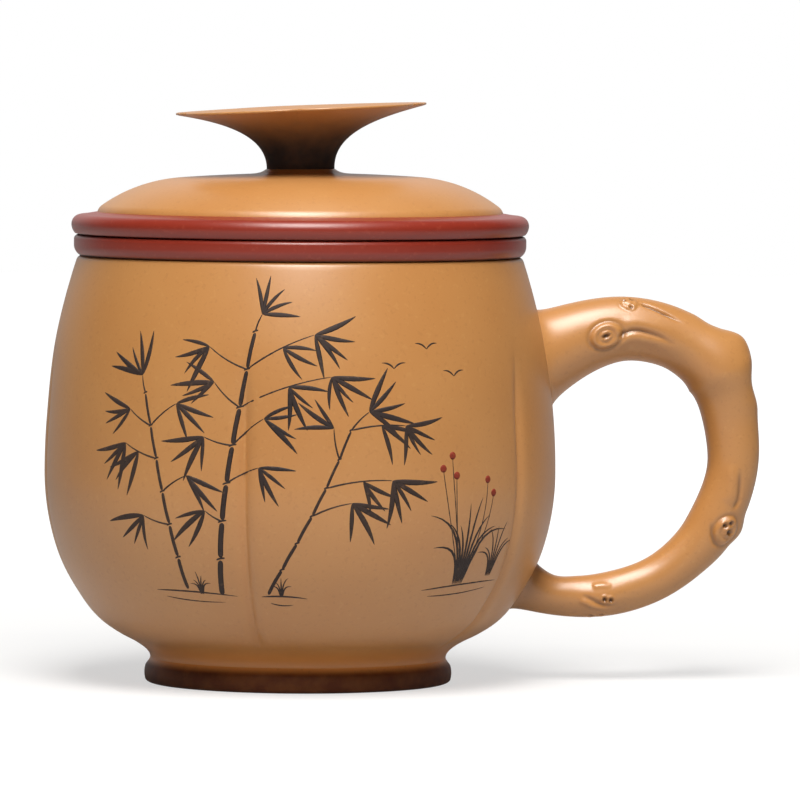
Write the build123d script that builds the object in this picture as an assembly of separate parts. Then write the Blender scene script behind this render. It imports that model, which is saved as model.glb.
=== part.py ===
from build123d import *
import math
import os
from collections import namedtuple

# Lidded clay tea cup: a lobed cup with a branch handle, an infuser that hangs in
# its mouth, and a loose domed lid with a petal knob. Sizes are in millimetres.
# The axis of the cup is Z, the table is Z = 0 and the handle points along +X.

# Cup outline: the belly is its widest line, and the rim, the flank and the waist
# above the foot are set in from it and joined to it by tangent arcs
belly_radius = 50.0
belly_height = 41.0
rim_height = 83.0
rim_inset = 6.8
flank_inset = 2.4
flank_drop = 15.0
waist_inset = 21.1
wall_thickness = 3.6
lip_round = 0.9

# Lobes: the wall is drawn in at creases that run from the foot to the shoulder
lobe_count = 5
crease_depth = 1.3
crease_fade_below_rim = 9.0
crease_fade_length = 26.0
crease_fade_above_foot = 9.0
sections_per_arc = 4

# Foot ring, and the floor disc that it carries
foot_height = 7.2
foot_width = 4.9
foot_inner_bevel = 0.8
foot_tread_inset = 0.6
foot_bulge = 1.1
foot_bulge_height = 2.4
foot_neck_height = 0.9
floor_seat_width = 2.0
floor_thickness = 4.0

# Branch handle: its reach from the wall, its rise and drop from the belly line and
# its thickness, then stations along its middle line as shares of those
handle_reach = 34.7
handle_rise = 27.9
handle_drop = 23.6
handle_thickness = 12.4
handle_root_depth = 3.2
handle_depth_ratio = 0.94
HandleStation = namedtuple("HandleStation", "reach level across")
handle_stations = [
    HandleStation(0.00, 0.77, 1.53),
    HandleStation(0.07, 0.86, 1.31),
    HandleStation(0.25, 0.95, 1.12),
    HandleStation(0.46, 1.00, 1.02),
    HandleStation(0.67, 0.96, 0.98),
    HandleStation(0.83, 0.86, 1.00),
    HandleStation(0.96, 0.69, 1.13),
    HandleStation(0.99, 0.45, 0.92),
    HandleStation(1.00, 0.20, 0.83),
    HandleStation(0.98, -0.07, 0.81),
    HandleStation(0.92, -0.42, 0.82),
    HandleStation(0.84, -0.65, 0.74),
    HandleStation(0.71, -0.86, 0.69),
    HandleStation(0.51, -0.98, 0.69),
    HandleStation(0.28, -1.00, 0.65),
    HandleStation(0.09, -0.97, 0.68),
    HandleStation(0.00, -0.92, 0.76),
]

# Knots pressed onto the branch: place along the stations, turn about the branch
# from the outer edge towards -Y, and size as a share of the largest knot
knot_ball_radius = 4.2
knot_proud = 0.9
knot_seat_depth = 1.3
Knot = namedtuple("Knot", "name place turn size")
knots = [
    Knot("knot_eye", 2.72, 88.0, 1.00),
    Knot("knot_crest", 3.25, 32.0, 0.68),
    Knot("knot_heel", 10.08, 55.0, 0.94),
    Knot("knot_underside", 13.36, 88.0, 0.82),
]

# Infuser: a flange that rests on the rim, a tapering tube and a pierced base
infuser_clearance = 0.6
infuser_wall_thickness = 2.6
infuser_depth = 54.0
infuser_taper = 2.8
infuser_collar_height = 5.0
infuser_base_thickness = 3.0
strainer_hole_radius = 1.2
strainer_ring_spacing = 5.2
holes_in_first_ring = 6
strainer_rim_margin = 2.6
flange_height = 4.0
flange_overhang = 0.8
flange_belly_height = 2.6
flange_under_round = 1.7
flange_over_round = 0.5

# Lid: a band that rests on the flange, a collar below it and a dome above it
lid_clearance = 0.4
collar_thickness = 3.0
collar_depth = 7.0
band_height = 4.5
band_overhang = 0.5
band_waist_height = 2.0
band_foot_inset = 0.7
band_shoulder_inset = 1.4
band_shoulder_drop = 0.75
band_shelf = 4.7
dome_edge_height = 0.5
dome_rise = 8.6
dome_shoulder_width = 17.8
dome_crown_drop = 0.9
dome_thickness = 3.6

# Petal knob: a trumpet from its neck to a thin lobed rim, dished on top
knob_neck_radius = 6.7
knob_flare_radius = 11.5
knob_flare_height = 7.6
knob_neck_height = 7.0
knob_radius = 24.6
knob_rim_height = 10.9
knob_rim_thickness = 1.0
knob_dish_depth = 2.0
knob_notch_depth = 1.1
knob_trim = 1.0


def upright_arc_radius(run, rise):
    # Radius of an arc that starts upright and ends run inwards and rise along.
    return (run**2 + rise**2) / (2 * run)


# Tangent arcs of the cup outline
rim_radius = belly_radius - rim_inset
flank_radius = belly_radius - flank_inset
flank_height = belly_height - flank_drop
waist_radius = belly_radius - waist_inset
shoulder_arc = upright_arc_radius(rim_inset, rim_height - belly_height)
flank_arc = upright_arc_radius(flank_inset, flank_drop)
flank_angle = math.asin(flank_drop / flank_arc)
bowl_run = flank_radius - waist_radius
bowl_drop = flank_height - foot_height
bowl_arc = (bowl_run**2 + bowl_drop**2) / (
    2 * (bowl_run * math.cos(flank_angle) - bowl_drop * math.sin(flank_angle))
)
bowl_centre_radius = flank_radius - bowl_arc * math.cos(flank_angle)
bowl_centre_height = flank_height + bowl_arc * math.sin(flank_angle)


def wall_radius(height, inset=0.0):
    # Radius of the cup outline at a height, or of the same outline set in by inset.
    if height >= belly_height:
        arc = shoulder_arc - inset
        return belly_radius - shoulder_arc + math.sqrt(arc**2 - (height - belly_height) ** 2)
    if height >= flank_height + inset * math.sin(flank_angle):
        arc = flank_arc - inset
        return belly_radius - flank_arc + math.sqrt(arc**2 - (height - belly_height) ** 2)
    arc = bowl_arc - inset
    return bowl_centre_radius + math.sqrt(arc**2 - (height - bowl_centre_height) ** 2)


# Heights and radii where the pieces meet
foot_inner_radius = waist_radius - foot_width
floor_radius = foot_inner_radius + floor_seat_width
floor_top = foot_height + floor_thickness
lip_height = rim_height - lip_round
mouth_radius = wall_radius(lip_height, wall_thickness)
tube_radius = mouth_radius - infuser_clearance
tube_bore = tube_radius - infuser_wall_thickness
tube_bottom = rim_height - infuser_depth
tube_foot_radius = tube_radius - infuser_taper
strainer_radius = tube_foot_radius - infuser_wall_thickness
flange_top = rim_height + flange_height
flange_radius = rim_radius + flange_overhang
collar_radius = tube_bore - lid_clearance
collar_bore = collar_radius - collar_thickness
band_radius = flange_radius + band_overhang
band_top = flange_top + band_height
dome_edge_radius = band_radius - band_shelf
dome_crown_radius = dome_edge_radius - dome_shoulder_width
dome_top = band_top + dome_rise
crown_arc = upright_arc_radius(dome_crown_drop, dome_crown_radius)
knob_foot = dome_top - crown_arc + math.sqrt(crown_arc**2 - knob_neck_radius**2)


def at(radius, height):
    # A point of a turned outline.
    return Vector(radius, 0, height)


def polar(radius, angle, height):
    return Vector(radius * math.cos(angle), radius * math.sin(angle), height)


def turned(*edges):
    # A solid turned about the axis from a closed outline.
    return revolve(make_face(list(edges)), Axis.Z)


def disc(radius, height):
    # A cylinder that stands on the plane Z = 0.
    return Cylinder(radius, height, align=(Align.CENTER, Align.CENTER, Align.MIN))


def smooth_step(value):
    held = min(max(value, 0.0), 1.0)
    return held * held * (3 - 2 * held)


def lobed_face(crown, notch, height):
    # One arc for each lobe, from crease to crease through its crown.
    half = math.pi / lobe_count
    arcs = []
    for lobe in range(lobe_count):
        middle = 2 * half * lobe
        arcs.append(
            ThreePointArc(
                polar(crown - notch, middle - half, height),
                polar(crown, middle, height),
                polar(crown - notch, middle + half, height),
            )
        )
    return make_face(arcs)


def crease_at(height):
    # The creases fade out towards the rim and towards the foot.
    below_rim = (rim_height - crease_fade_below_rim - height) / crease_fade_length
    above_foot = (height - foot_height) / crease_fade_above_foot
    return crease_depth * smooth_step(below_rim) * smooth_step(above_foot)


def make_cup_form():
    # The lobed outside of the cup as one full solid, closed by a rounded lip.
    heights = [foot_height]
    joints = [foot_height, flank_height, belly_height, lip_height]
    for low, high in zip(joints, joints[1:]):
        for step in range(1, sections_per_arc + 1):
            heights.append(low + (high - low) * step / sections_per_arc)
    lobes = loft([lobed_face(wall_radius(z), crease_at(z), z) for z in heights])
    shoulder = at(wall_radius(lip_height), lip_height)
    lip_edge = at(rim_radius - lip_round, rim_height)
    lean = math.asin((lip_height - belly_height) / shoulder_arc)
    up_the_wall = (-math.sin(lean), 0, math.cos(lean))
    lip = turned(
        Line(at(0, lip_height), shoulder),
        TangentArc(shoulder, lip_edge, tangent=up_the_wall),
        Line(lip_edge, at(0, rim_height)),
        Line(at(0, rim_height), at(0, lip_height)),
    )
    return lobes + lip


def make_cavity():
    # The turned inside of the cup, open at the rim.
    joint_height = flank_height + wall_thickness * math.sin(flank_angle)
    joint = at(wall_radius(joint_height, wall_thickness), joint_height)
    belly = at(belly_radius - wall_thickness, belly_height)
    floor_edge = at(wall_radius(floor_top, wall_thickness), floor_top)
    mouth = at(mouth_radius, lip_height)
    lip_edge = at(mouth_radius + lip_round, rim_height)
    quarter = math.sqrt(0.5) * lip_round
    mouth_middle = at(mouth_radius + lip_round - quarter, lip_height + quarter)

    def between(low, high):
        middle = (low + high) / 2
        return at(wall_radius(middle, wall_thickness), middle)

    return turned(
        Line(at(0, floor_top), floor_edge),
        ThreePointArc(floor_edge, between(floor_top, joint_height), joint),
        ThreePointArc(joint, between(joint_height, belly_height), belly),
        ThreePointArc(belly, between(belly_height, lip_height), mouth),
        ThreePointArc(mouth, mouth_middle, lip_edge),
        Line(lip_edge, at(0, rim_height)),
        Line(at(0, rim_height), at(0, floor_top)),
    )


def make_cup_wall(cup_form):
    return cup_form - make_cavity() - make_cup_floor()


def make_cup_floor():
    return Pos(0, 0, foot_height) * disc(floor_radius, floor_thickness)


def make_foot_ring():
    tread = at(waist_radius - foot_tread_inset, 0)
    bulge = at(waist_radius + foot_bulge, foot_bulge_height)
    neck = at(waist_radius, foot_height - foot_neck_height)
    return turned(
        Line(at(foot_inner_radius + foot_inner_bevel, 0), tread),
        TangentArc(bulge, tread, tangent=(0, 0, -1)),
        Spline(bulge, neck, tangents=[(0, 0, 1), (0, 0, 1)]),
        Line(neck, at(waist_radius, foot_height)),
        Line(at(waist_radius, foot_height), at(foot_inner_radius, foot_height)),
        Line(at(foot_inner_radius, foot_height), at(foot_inner_radius, foot_inner_bevel)),
        Line(at(foot_inner_radius, foot_inner_bevel), at(foot_inner_radius + foot_inner_bevel, 0)),
    )


def station_point(station):
    # The two end stations lie inside the wall, so that the roots meet it all round.
    height = belly_height + station.level * (handle_rise if station.level > 0 else handle_drop)
    standoff = station.reach * handle_reach if station.reach > 0 else -handle_root_depth
    return at(wall_radius(height) + standoff, height)


def station_plane(index):
    # A plane across the branch at a station, its X towards the outer edge of the loop.
    before = station_point(handle_stations[max(index - 1, 0)])
    after = station_point(handle_stations[min(index + 1, len(handle_stations) - 1)])
    along = (after - before).normalized()
    outward = along.cross(Vector(0, 1, 0))
    return Plane(station_point(handle_stations[index]), x_dir=outward, z_dir=along)


def make_branch(cup_form):
    sections = []
    for index, station in enumerate(handle_stations):
        half = station.across * handle_thickness / 2
        sections.append(station_plane(index) * Ellipse(half, handle_depth_ratio * half))
    return loft(sections) - cup_form


def make_knot(knot):
    # A ball cap with a flat back, seated in the skin of the branch.
    index = int(knot.place)
    share = knot.place - index
    near, far = handle_stations[index], handle_stations[index + 1]
    middle = station_point(near) + (station_point(far) - station_point(near)) * share
    half = (near.across + (far.across - near.across) * share) * handle_thickness / 2
    turn = math.radians(knot.turn)
    outward = station_plane(index).x_dir * (1 - share) + station_plane(index + 1).x_dir * share
    facing = outward.normalized() * math.cos(turn) + Vector(0, -1, 0) * math.sin(turn)
    skin = half * math.hypot(math.cos(turn), handle_depth_ratio * math.sin(turn))
    ball_radius = knot.size * knot_ball_radius
    centre = middle + facing * (skin + knot_proud - ball_radius)
    seat = Plane(middle + facing * (skin - knot_seat_depth), z_dir=facing)
    ball = Pos(*centre) * Sphere(ball_radius)
    return split(ball, bisect_by=seat, keep=Keep.TOP)


def make_infuser_flange():
    under = at(flange_radius - flange_under_round, rim_height)
    belly = at(flange_radius, rim_height + flange_belly_height)
    upper = at(flange_radius, flange_top - flange_over_round)
    over = at(flange_radius - flange_over_round, flange_top)
    return turned(
        Line(at(tube_radius, rim_height), under),
        TangentArc(belly, under, tangent=(0, 0, -1)),
        Line(belly, upper),
        TangentArc(upper, over, tangent=(0, 0, 1)),
        Line(over, at(tube_radius, flange_top)),
        Line(at(tube_radius, flange_top), at(tube_radius, rim_height)),
    )


def make_infuser_tube():
    # Upright in the mouth of the cup, then tapering down to the strainer.
    collar_foot = rim_height - infuser_collar_height
    base_top = tube_bottom + infuser_base_thickness
    return turned(
        Line(at(strainer_radius, tube_bottom), at(tube_foot_radius, tube_bottom)),
        Line(at(tube_foot_radius, tube_bottom), at(tube_radius, collar_foot)),
        Line(at(tube_radius, collar_foot), at(tube_radius, flange_top)),
        Line(at(tube_radius, flange_top), at(tube_bore, flange_top)),
        Line(at(tube_bore, flange_top), at(tube_bore, collar_foot)),
        Line(at(tube_bore, collar_foot), at(strainer_radius, base_top)),
        Line(at(strainer_radius, base_top), at(strainer_radius, tube_bottom)),
    )


def make_infuser_base():
    base = disc(strainer_radius, infuser_base_thickness)
    hole = disc(strainer_hole_radius, infuser_base_thickness)
    pierced_radius = strainer_radius - strainer_rim_margin - strainer_hole_radius
    holes = [hole]
    for ring in range(1, int(pierced_radius / strainer_ring_spacing) + 1):
        holes += PolarLocations(ring * strainer_ring_spacing, holes_in_first_ring * ring) * hole
    return Pos(0, 0, tube_bottom) * (base - holes)


def make_lid_band():
    foot = at(band_radius - band_foot_inset, flange_top)
    waist = at(band_radius, flange_top + band_waist_height)
    shoulder = at(band_radius - band_shoulder_inset, band_top - band_shoulder_drop)
    return turned(
        Line(at(collar_bore, flange_top), foot),
        TangentArc(waist, foot, tangent=(0, 0, -1)),
        TangentArc(waist, shoulder, tangent=(0, 0, 1)),
        Line(shoulder, at(dome_edge_radius, band_top)),
        Line(at(dome_edge_radius, band_top), at(collar_bore, band_top)),
        Line(at(collar_bore, band_top), at(collar_bore, flange_top)),
    )


def make_lid_collar():
    ring = disc(collar_radius, collar_depth) - disc(collar_bore, collar_depth)
    return Pos(0, 0, flange_top - collar_depth) * ring


def dome_outline(edge_radius, edge_height, top):
    # A shoulder arc that rises from the edge into a flatter crown arc.
    half_crown = dome_crown_radius / 2
    crown_middle = at(half_crown, top - crown_arc + math.sqrt(crown_arc**2 - half_crown**2))
    crown_edge = at(dome_crown_radius, top - dome_crown_drop)
    lean = math.asin(dome_crown_radius / crown_arc)
    downhill = (math.cos(lean), 0, -math.sin(lean))
    shoulder = TangentArc(crown_edge, at(edge_radius, edge_height), tangent=downhill)
    return [shoulder, ThreePointArc(crown_edge, crown_middle, at(0, top))]


def make_lid_dome():
    # A shell over the band with a small flat on top where the knob stands.
    edge_foot = at(dome_edge_radius, band_top)
    edge_top = band_top + dome_edge_height
    outside = turned(
        Line(at(0, band_top), edge_foot),
        Line(edge_foot, at(dome_edge_radius, edge_top)),
        *dome_outline(dome_edge_radius, edge_top, dome_top),
        Line(at(0, dome_top), at(0, band_top)),
    )
    hollow_radius = dome_edge_radius - dome_thickness
    hollow_top = dome_top - dome_thickness
    hollow = turned(
        Line(at(0, band_top), at(hollow_radius, band_top)),
        *dome_outline(hollow_radius, band_top, hollow_top),
        Line(at(0, hollow_top), at(0, band_top)),
    )
    knob_seat = Pos(0, 0, knob_foot) * disc(knob_neck_radius, dome_rise)
    return outside - hollow - knob_seat


def make_lid_knob():
    # A turned trumpet with a dished top, trimmed by an upright lobed outline.
    turned_radius = knob_radius + knob_trim
    rim_under = at(turned_radius, knob_foot + knob_rim_height)
    rim_top = at(turned_radius, knob_foot + knob_rim_height + knob_rim_thickness)
    dish = rim_top.Z - knob_dish_depth
    trumpet = turned(
        Line(at(0, knob_foot), at(knob_neck_radius, knob_foot)),
        Bezier(
            at(knob_neck_radius, knob_foot),
            at(knob_neck_radius, knob_foot + knob_neck_height),
            at(knob_flare_radius, knob_foot + knob_flare_height),
            rim_under,
        ),
        Line(rim_under, rim_top),
        TangentArc(at(knob_neck_radius, dish), rim_top, tangent=(1, 0, 0)),
        Line(at(knob_neck_radius, dish), at(0, dish)),
        Line(at(0, dish), at(0, knob_foot)),
    )
    petals = extrude(lobed_face(knob_radius, knob_notch_depth, knob_foot), 2 * knob_rim_height)
    return trumpet & petals


def make_pieces():
    cup_form = make_cup_form()
    branch = make_branch(cup_form)
    pieces = {}
    for knot in knots:
        pieces[knot.name] = make_knot(knot)
        branch -= pieces[knot.name]
    pieces["handle_branch"] = branch
    pieces["cup_wall"] = make_cup_wall(cup_form)
    pieces["cup_floor"] = make_cup_floor()
    pieces["foot_ring"] = make_foot_ring()
    pieces["infuser_flange"] = make_infuser_flange()
    pieces["infuser_tube"] = make_infuser_tube()
    pieces["infuser_base"] = make_infuser_base()
    pieces["lid_band"] = make_lid_band()
    pieces["lid_collar"] = make_lid_collar()
    pieces["lid_dome"] = make_lid_dome()
    pieces["lid_knob"] = make_lid_knob()
    return pieces


os.makedirs("parts", exist_ok=True)
for name, piece in make_pieces().items():
    export_step(piece, f"parts/{name}.step")
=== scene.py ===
import math
import bmesh
import bpy
import numpy as np
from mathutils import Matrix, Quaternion, Vector


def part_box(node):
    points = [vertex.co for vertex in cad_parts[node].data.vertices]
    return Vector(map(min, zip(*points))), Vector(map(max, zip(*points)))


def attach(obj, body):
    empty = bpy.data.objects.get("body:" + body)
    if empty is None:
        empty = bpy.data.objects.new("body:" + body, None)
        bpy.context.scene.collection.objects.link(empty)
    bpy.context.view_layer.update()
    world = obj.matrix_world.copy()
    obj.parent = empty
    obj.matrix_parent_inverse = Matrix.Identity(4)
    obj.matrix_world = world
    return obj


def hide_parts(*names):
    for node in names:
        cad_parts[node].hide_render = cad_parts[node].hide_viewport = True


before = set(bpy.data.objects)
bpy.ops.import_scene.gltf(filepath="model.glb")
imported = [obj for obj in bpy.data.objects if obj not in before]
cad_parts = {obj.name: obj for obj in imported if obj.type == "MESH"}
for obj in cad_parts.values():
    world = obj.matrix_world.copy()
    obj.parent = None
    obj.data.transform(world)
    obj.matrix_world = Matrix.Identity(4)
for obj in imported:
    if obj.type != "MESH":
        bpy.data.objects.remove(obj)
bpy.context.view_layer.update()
scene = bpy.context.scene
scene.view_settings.view_transform = "Standard"

# shapes are worked out in millimetres and written to the meshes in metres
mm = 0.001
mergeDistance = 1e-7
shortest = 1e-9
fullTurn = 2.0 * math.pi


def boxOf(node):
    # lowest and highest corner of a CAD node, in millimetres
    low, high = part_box(node)
    return np.array(low) / mm, np.array(high) / mm


def smoothStep(share):
    # three squares less two cubes of the share, held between 0 and 1
    held = np.clip(share, 0.0, 1.0)
    return held * held * (3.0 - 2.0 * held)


def bell(distance, width):
    # e to the minus square of distance over width
    return np.exp(-((distance / width) ** 2))


def pit(reach):
    # e to the minus reach to the power of two and a half, flatter in the middle than a bell
    return np.exp(-(reach**2.5))


def parabola(start, corner, end, share):
    # start by the square of the rest, corner by twice rest times share, end by the square of share
    rest = 1.0 - share
    return rest**2 * start + 2.0 * share * rest * corner + share**2 * end


def cubicWeights(share):
    # how much each of the four guides of a cubic curve counts at a share of the way
    rest = 1.0 - share
    return np.stack((rest**3, 3 * share * rest**2, 3 * share**2 * rest, share**3), axis=-1)


def splineAt(knots, places):
    # natural cubic spline through evenly spaced knots, read at places counted in knots
    knots = np.asarray(knots, float)
    count = len(knots)
    system = np.eye(count)
    system[1:-1] = (np.eye(count, k=-1) + 4.0 * system + np.eye(count, k=1))[1:-1]
    bend = np.zeros_like(knots)
    bend[1:-1] = 6.0 * (knots[2:] - 2.0 * knots[1:-1] + knots[:-2])
    bend = np.linalg.solve(system, bend)
    first = np.clip(np.floor(places).astype(int), 0, count - 2)
    share = (places - first)[:, None]
    rest = 1.0 - share
    straight = rest * knots[first] + share * knots[first + 1]
    curved = (rest**3 - rest) * bend[first] + (share**3 - share) * bend[first + 1]
    return straight + curved / 6.0


def unit(vectors):
    # each vector over its own length
    lengths = np.linalg.norm(vectors, axis=-1, keepdims=True)
    return vectors / np.maximum(lengths, shortest)


def leftOf(vectors):
    # flat vectors turned by a quarter: minus the second part, then the first
    return np.stack((-vectors[..., 1], vectors[..., 0]), axis=-1)


def arcAbout(centre, radius, start, end, count):
    # centre plus radius times cosine and sine, from one angle to another
    angle = np.linspace(start, end, count)
    return np.array(centre) + radius * np.stack((np.cos(angle), np.sin(angle)), axis=1)


def arcAlong(start, heading, end, count):
    # the one arc that leaves start along a heading and reaches end: radius is chord squared
    # over twice the chord's reach across the heading
    start, end = np.array(start, float), np.array(end, float)
    across = leftOf(unit(np.array(heading, float)))
    chord = end - start
    radius = chord @ chord / (2.0 * (chord @ across))
    centre = start + across * radius
    first = math.atan2(*(start - centre)[::-1])
    last = math.atan2(*(end - centre)[::-1])
    sweep = (last - first + math.pi) % fullTurn - math.pi
    return arcAbout(centre, abs(radius), first, first + sweep, count)


def levelRun(start, end, height, count):
    # even steps of radius from start to end, all at one height
    return np.stack((np.linspace(start, end, count), np.full(count, height)), axis=1)


def easedOutline(corners, rounds, closed=False):
    # corners eased by a parabola between points set back on both sides, with a few points on each
    # straight so that it shades flat; the straight from last to first counts only where closed
    largestShare = 0.46
    straightShares = np.array((0.06, 0.35, 0.65, 0.94))[:, None]
    easeShares = np.linspace(0.0, 1.0, 7)[:, None]
    corners = np.array(corners, float)
    before, after = np.roll(corners, 1, axis=0), np.roll(corners, -1, axis=0)
    eased = []
    for corner, back, ahead, ease in zip(corners, before, after, rounds):
        enter, leave = (
            corner + (other - corner) * min(largestShare, ease / np.linalg.norm(other - corner))
            for other in (back, ahead))
        eased.append(parabola(enter, corner, leave, easeShares))
    outline = []
    for part, following in zip(eased, eased[1:] + eased[:1]):
        outline += [part, part[-1] + (following[0] - part[-1]) * straightShares]
    return np.concatenate(outline if closed else outline[:-1])


def evenTurn(columns):
    # angles in even steps once round
    return np.linspace(0.0, fullTurn, columns, endpoint=False)


def turnAbout(profile, angle):
    # each radius and height of the profile carried round the upright axis
    radius, height = profile[:, :1], profile[:, 1:]
    across = np.ones_like(angle)
    return np.stack((radius * np.cos(angle), radius * np.sin(angle), height * across), axis=-1)


def pressIn(points, inset, angle):
    # points drawn towards the axis by inset
    points[..., 0] -= inset * np.cos(angle)
    points[..., 1] -= inset * np.sin(angle)


def gridQuads(sheets, rows, columns, closed):
    # the four corners of each cell of some grids whose columns run round, row by row; the last
    # row is joined to the first where closed
    corner = np.arange(sheets * rows * columns).reshape(sheets, rows, columns)
    beside, above = np.roll(corner, -1, axis=2), np.roll(corner, -1, axis=1)
    cells = np.stack((corner, beside, np.roll(above, -1, axis=2), above), axis=-1)
    return (cells if closed else cells[:, :-1]).reshape(-1, 4)


def meshOf(name, points, closed=False, **masks):
    # grids of points become one mesh: doubles merged at poles and seams, volume made positive so
    # that faces point outwards; a mask has a share for each row of points or for each point
    rows, columns = points.shape[-3:-1]
    flat = points.reshape(-1, 3) * mm
    quads = gridQuads(len(flat) // (rows * columns), rows, columns, closed)
    mesh = bpy.data.meshes.new(name)
    mesh.from_pydata(flat.tolist(), [], quads.tolist())
    for maskName, mask in masks.items():
        shares = np.broadcast_to(mask.reshape(rows, -1), (rows, columns))
        layer = mesh.attributes.new(maskName, "FLOAT", "POINT")
        layer.data.foreach_set("value", np.ascontiguousarray(shares, np.float32).ravel())
    shell = bmesh.new()
    shell.from_mesh(mesh)
    bmesh.ops.remove_doubles(shell, verts=shell.verts, dist=mergeDistance)
    if shell.calc_volume(signed=True) < 0.0:
        bmesh.ops.reverse_faces(shell, faces=shell.faces)
    shell.to_mesh(mesh)
    shell.free()
    return mesh


def makePiece(name, points, body, material, nodes=(), slot=None, **details):
    # a smooth mesh in its material, hung on its body in place of its nodes
    mesh = meshOf(name, points, **details)
    mesh.shade_smooth()
    mesh.materials.append(material)
    piece = bpy.data.objects.new(name, mesh)
    scene.collection.objects.link(piece)
    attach(piece, body)
    if nodes:
        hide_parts(*nodes)
    print("piece:", name, len(mesh.polygons), "faces on", body)


def makeTurned(name, profile, columns, *place, **masks):
    # a closed profile carried once round the axis
    makePiece(name, turnAbout(profile, evenTurn(columns)), *place, closed=True, **masks)


# Materials

claySetup = {
    # size in metres and detail of each noise
    "clouds": (0.022, 4.0),
    "grain": (0.0006, 3.0),
    "darkFlecks": (0.00075, 1.0),
    "paleFlecks": (0.00105, 1.0),
    "shadingClouds": (0.004, 3.0),
    # ranges of noise over which each effect sets in
    "cloudRange": (0.34, 0.66),
    "roughRange": (0.3, 0.7),
    "darkRange": (0.62, 0.70),
    "paleRange": (0.64, 0.72),
    "shadingRange": (0.3, 0.7),
    "shadingStrength": (0.92, 1.06),
    "bumpHeight": 0.0002,
}
# what the clay grain group takes from a finish
grainInputs = {
    "ground": "Color", "cloud": "Color", "darkFleck": "Color", "paleFleck": "Color",
    "fleckShare": "Float", "smooth": "Float", "rough": "Float",
}


def feed(tree, socket, value):
    # a socket linked to another socket, or set to a value
    if isinstance(value, bpy.types.NodeSocket):
        tree.links.new(value, socket)
    else:
        socket.default_value = value


def addNode(tree, kind, sockets=None, **settings):
    # a node of one kind with its settings, and its sockets linked or set
    node = tree.nodes.new(kind)
    for key, value in settings.items():
        setattr(node, key, value)
    for key, value in (sockets or {}).items():
        feed(tree, node.inputs[key], value)
    return node


def srgb(colour):
    # colour as seen on a screen, 0 to 255, made linear
    value = np.array(colour) / 255.0
    linear = np.where(value <= 0.04045, value / 12.92, ((value + 0.055) / 1.055) ** 2.4)
    return (*linear.tolist(), 1.0)


def startGroup(name, inputs, outputs):
    # an empty node group, the sockets that it is given and the sockets of its result
    group = bpy.data.node_groups.new(name, "ShaderNodeTree")
    for side, sockets in (("INPUT", inputs), ("OUTPUT", outputs)):
        for socketName, kind in sockets.items():
            group.interface.new_socket(socketName, in_out=side, socket_type="NodeSocket" + kind)
    start, end = addNode(group, "NodeGroupInput"), addNode(group, "NodeGroupOutput")
    return group, start.outputs, end.inputs


def mixColours(tree, share, first, second):
    # first colour towards second by share
    sockets = {0: share, 6: first, 7: second}
    return addNode(tree, "ShaderNodeMix", sockets, data_type="RGBA").outputs[2]


def spread(tree, value, low, high, start=0.0, end=1.0):
    # value carried from the range low to high onto the range start to end, held at both ends
    sockets = {0: value, 1: low, 2: high, 3: start, 4: end}
    return addNode(tree, "ShaderNodeMapRange", sockets).outputs[0]


def reckon(tree, operation, *values):
    # one operation on two or three values
    sockets = dict(enumerate(values))
    return addNode(tree, "ShaderNodeMath", sockets, operation=operation).outputs[0]


def noiseOn(tree, place, size, detail):
    # noise whose largest clouds are about size metres across
    sockets = {"Vector": place, "Scale": 1.0 / size, "Detail": detail}
    return addNode(tree, "ShaderNodeTexNoise", sockets).outputs["Fac"]


def clayGrainGroup():
    # ground colour drifting to a cloud colour, with dark and pale flecks; roughness follows the
    # clouds and height the fine grain
    group, given, result = startGroup(
        "clayGrain",
        dict(grainInputs, place="Vector"),
        {"color": "Color", "roughness": "Float", "height": "Float"})
    place = given["place"]
    clouds = noiseOn(group, place, *claySetup["clouds"])
    drift = spread(group, clouds, *claySetup["cloudRange"])
    colour = mixColours(group, drift, given["ground"], given["cloud"])
    for kind in ("dark", "pale"):
        flecks = noiseOn(group, place, *claySetup[kind + "Flecks"])
        flecks = spread(group, flecks, *claySetup[kind + "Range"])
        mask = reckon(group, "MULTIPLY", flecks, given["fleckShare"])
        colour = mixColours(group, mask, colour, given[kind + "Fleck"])
    roughness = spread(group, clouds, *claySetup["roughRange"], given["smooth"], given["rough"])
    feed(group, result["color"], colour)
    feed(group, result["roughness"], roughness)
    feed(group, result["height"], noiseOn(group, place, *claySetup["grain"]))
    return group


def paintedShadingGroup():
    # colour drawn towards painted shade (painted light in the fillet's clay) by a mask whose edge
    # is broken up by small clouds
    group, given, result = startGroup(
        "paintedShadingMix",
        {"place": "Vector", "color": "Color", "paintedShadingMix": "Color", "mask": "Float"},
        {"color": "Color"})
    clouds = noiseOn(group, given["place"], *claySetup["shadingClouds"])
    broken = spread(group, clouds, *claySetup["shadingRange"], *claySetup["shadingStrength"])
    share = spread(group, reckon(group, "MULTIPLY", given["mask"], broken), 0.0, 1.0)
    feed(group, result["color"], mixColours(group, share, given["color"], given["paintedShadingMix"]))
    return group


clayGrain = clayGrainGroup()
paintedShadingMix = paintedShadingGroup()


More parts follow.
